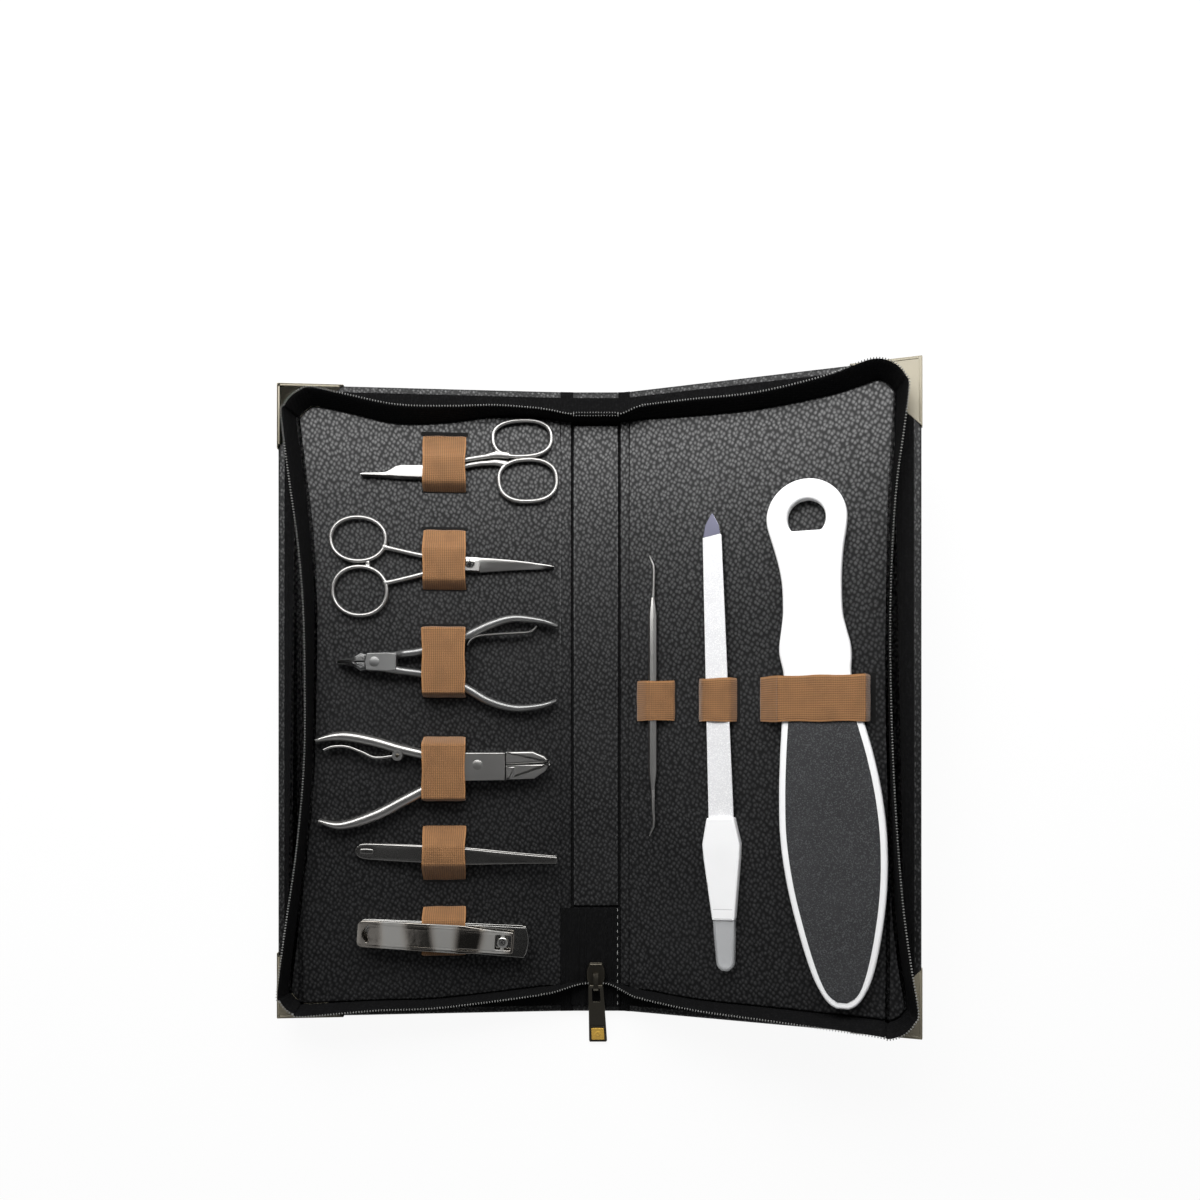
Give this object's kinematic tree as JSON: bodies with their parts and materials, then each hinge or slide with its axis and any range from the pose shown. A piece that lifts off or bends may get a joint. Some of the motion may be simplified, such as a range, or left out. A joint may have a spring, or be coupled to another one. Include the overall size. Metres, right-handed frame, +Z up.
{
  "type": "manicure set case",
  "caption": "Zipped book-style case, open, with scissors, nippers, tweezers, clipper, probe and files held in elastic loops.",
  "frame": {"origin": "on the table under the middle of the spine board, halfway along the fold", "axes": "+X from the left cover to the right cover, +Y along the fold towards the top gusset, +Z up from the table"},
  "size_m": [0.2761, 0.2934, 0.0538],
  "materials": {
    "cover_leather": "satin",
    "grained_lining": "satin",
    "zip_tape": "matte",
    "zip_metal": "satin",
    "brass_inlay": "satin",
    "champagne_metal": "satin",
    "brown_elastic": "matte",
    "polished_steel": "polished",
    "satin_steel": "satin",
    "white_plastic": "gloss",
    "clear_plastic": "gloss",
    "black_grit": "matte"
  },
  "bodies": {
    "left_panel": {"left_cover": "cover_leather", "left_lining": "grained_lining", "left_zip_tape": "zip_tape", "left_zip_teeth": "zip_metal", "left_corner_caps": "champagne_metal", "cuticle_scissors_loop": "brown_elastic", "nail_scissors_loop": "brown_elastic", "cuticle_nipper_loop": "brown_elastic", "nail_nipper_loop": "brown_elastic", "tweezers_loop": "brown_elastic", "clipper_loop": "brown_elastic"},
    "spine": {"spine_board": "cover_leather", "spine_flap": "grained_lining", "top_gusset": "zip_tape", "zip_tail": "zip_tape"},
    "right_panel": {"right_cover": "cover_leather", "right_lining": "grained_lining", "right_zip_tape": "zip_tape", "right_zip_teeth": "zip_metal", "right_corner_caps": "champagne_metal", "probe_loop": "brown_elastic", "nail_file_loop": "brown_elastic", "foot_file_loop": "brown_elastic"},
    "zip_slider": {"zip_slider": "zip_metal"},
    "pull_tab": {"pull_tab": "zip_metal", "pull_inlay": "brass_inlay"},
    "cuticle_scissors": {"cuticle_scissors_upper_half": "polished_steel", "cuticle_scissors_screw": "polished_steel"},
    "cuticle_scissors_blade": {"cuticle_scissors_lower_half": "polished_steel"},
    "nail_scissors": {"nail_scissors_upper_half": "polished_steel", "nail_scissors_screw": "polished_steel"},
    "nail_scissors_blade": {"nail_scissors_lower_half": "polished_steel"},
    "cuticle_nipper": {"cuticle_nipper_upper_half": "satin_steel", "cuticle_nipper_rivet": "satin_steel", "cuticle_nipper_spring": "satin_steel"},
    "cuticle_nipper_handle": {"cuticle_nipper_lower_half": "satin_steel"},
    "nail_nipper": {"nail_nipper_lower_half": "polished_steel", "nail_nipper_rivet": "polished_steel"},
    "nail_nipper_handle": {"nail_nipper_upper_half": "polished_steel", "nail_nipper_spring": "polished_steel", "nail_nipper_spring_pin": "polished_steel"},
    "tweezers": {"tweezers_lower_arm": "polished_steel"},
    "tweezers_arm": {"tweezers_upper_arm": "polished_steel"},
    "clipper": {"clipper_lower_leaf": "polished_steel", "clipper_rivet": "polished_steel"},
    "clipper_jaw": {"clipper_upper_leaf": "polished_steel"},
    "clipper_pin": {"clipper_pin": "polished_steel"},
    "clipper_lever": {"clipper_lever": "polished_steel"},
    "probe": {"probe": "polished_steel"},
    "nail_file": {"nail_file_blade": "satin_steel", "nail_file_handle": "white_plastic", "nail_file_pusher": "polished_steel"},
    "nail_file_cap": {"nail_file_cap": "clear_plastic"},
    "foot_file": {"foot_file_paddle": "white_plastic", "foot_file_front_pad": "black_grit", "foot_file_back_pad": "black_grit"}
  },
  "joints": [
    {"name": "left_fold", "type": "hinge", "parent": "spine", "child": "left_panel", "pos_m": [-0.013, 0, 0.0015], "axis": [0, -1, 0], "range_deg": [-85.6, 4.4]},
    {"name": "right_fold", "type": "hinge", "parent": "spine", "child": "right_panel", "pos_m": [0.013, 0, 0.0015], "axis": [0, 1, 0], "range_deg": [-71.2, 18.8]},
    {"name": "zip_slide", "type": "slide", "parent": "spine", "child": "zip_slider", "axis": [0, -1, 0], "range_m": [0, 0.008]},
    {"name": "pull_tab_hinge", "type": "hinge", "parent": "zip_slider", "child": "pull_tab", "pos_m": [0, -0.1274, 0.0079], "axis": [-1, 0, 0], "range_deg": [0, 130]},
    {"name": "cuticle_scissors_draw", "type": "slide", "parent": "left_panel", "child": "cuticle_scissors", "axis": [0.9632, 0, 0.2689], "range_m": [0, 0.052], "deforming": ["cuticle_scissors_loop"]},
    {"name": "cuticle_scissors_pivot", "type": "hinge", "parent": "cuticle_scissors", "child": "cuticle_scissors_blade", "pos_m": [-0.07319, 0.1009, 0.00914], "axis": [-0.0767, 0, -0.9971], "range_deg": [0, 25]},
    {"name": "nail_scissors_draw", "type": "slide", "parent": "left_panel", "child": "nail_scissors", "axis": [-0.4321, 0, 0.9018], "range_m": [0, 0.045], "deforming": ["nail_scissors_loop"]},
    {"name": "nail_scissors_pivot", "type": "hinge", "parent": "nail_scissors", "child": "nail_scissors_blade", "pos_m": [-0.05614, 0.0612, 0.00783], "axis": [0.0767, 0, 0.9971], "range_deg": [0, 14]},
    {"name": "cuticle_nipper_draw", "type": "slide", "parent": "left_panel", "child": "cuticle_nipper", "axis": [0.9632, 0, 0.2689], "range_m": [0, 0.05], "deforming": ["cuticle_nipper_loop"]},
    {"name": "cuticle_nipper_pivot", "type": "hinge", "parent": "cuticle_nipper", "child": "cuticle_nipper_handle", "pos_m": [-0.09732, 0.0168, 0.011], "axis": [-0.0767, 0, -0.9971], "range_deg": [0, 12]},
    {"name": "nail_nipper_draw", "type": "slide", "parent": "left_panel", "child": "nail_nipper", "axis": [-0.184, 0, 0.9829], "range_m": [0, 0.045], "deforming": ["nail_nipper_loop"]},
    {"name": "nail_nipper_pivot", "type": "hinge", "parent": "nail_nipper", "child": "nail_nipper_handle", "pos_m": [-0.05265, -0.0284, 0.00756], "axis": [-0.0767, 0, -0.9971], "range_deg": [0, 12]},
    {"name": "tweezers_draw", "type": "slide", "parent": "left_panel", "child": "tweezers", "axis": [0.9632, 0, 0.2689], "range_m": [0, 0.052], "deforming": ["tweezers_loop"]},
    {"name": "tweezers_squeeze", "type": "hinge", "parent": "tweezers", "child": "tweezers_arm", "pos_m": [-0.10042, -0.0665, 0.01244], "axis": [0, 1, 0], "range_deg": [0, 2.6], "stiffness_Nm_per_rad": 0.5},
    {"name": "clipper_draw", "type": "slide", "parent": "left_panel", "child": "clipper", "axis": [0.9829, 0, 0.184], "range_m": [0, 0.05], "deforming": ["clipper_loop"]},
    {"name": "clipper_press", "type": "hinge", "parent": "clipper", "child": "clipper_jaw", "pos_m": [-0.09916, -0.10204, 0.01339], "axis": [0.073, 0.9973, -0.0056], "range_deg": [0, 0.85], "stiffness_Nm_per_rad": 2},
    {"name": "clipper_pin_turn", "type": "hinge", "parent": "clipper", "child": "clipper_pin", "pos_m": [-0.04166, -0.10629, 0.00671], "axis": [-0.0767, 0, -0.9971], "range_deg": [0, 180]},
    {"name": "clipper_lever_lift", "type": "hinge", "parent": "clipper_pin", "child": "clipper_lever", "pos_m": [-0.04095, -0.10629, 0.01587], "axis": [0.073, 0.9973, -0.0056], "range_deg": [0, 20]},
    {"name": "probe_draw", "type": "slide", "parent": "right_panel", "child": "probe", "axis": [-0.1611, 0.866, 0.4733], "range_m": [0, 0.082], "deforming": ["probe_loop"]},
    {"name": "nail_file_draw", "type": "slide", "parent": "right_panel", "child": "nail_file", "axis": [-0.1742, -0.7876, 0.5911], "range_m": [0, 0.115], "deforming": ["nail_file_loop"]},
    {"name": "nail_file_cap_draw", "type": "slide", "parent": "nail_file", "child": "nail_file_cap", "axis": [0.0307, -0.9995, 0.0105], "range_m": [0, 0.014]},
    {"name": "foot_file_draw", "type": "slide", "parent": "right_panel", "child": "foot_file", "axis": [-0.1362, 0.9063, 0.4001], "range_m": [0, 0.15], "deforming": ["foot_file_loop"]}
  ]
}
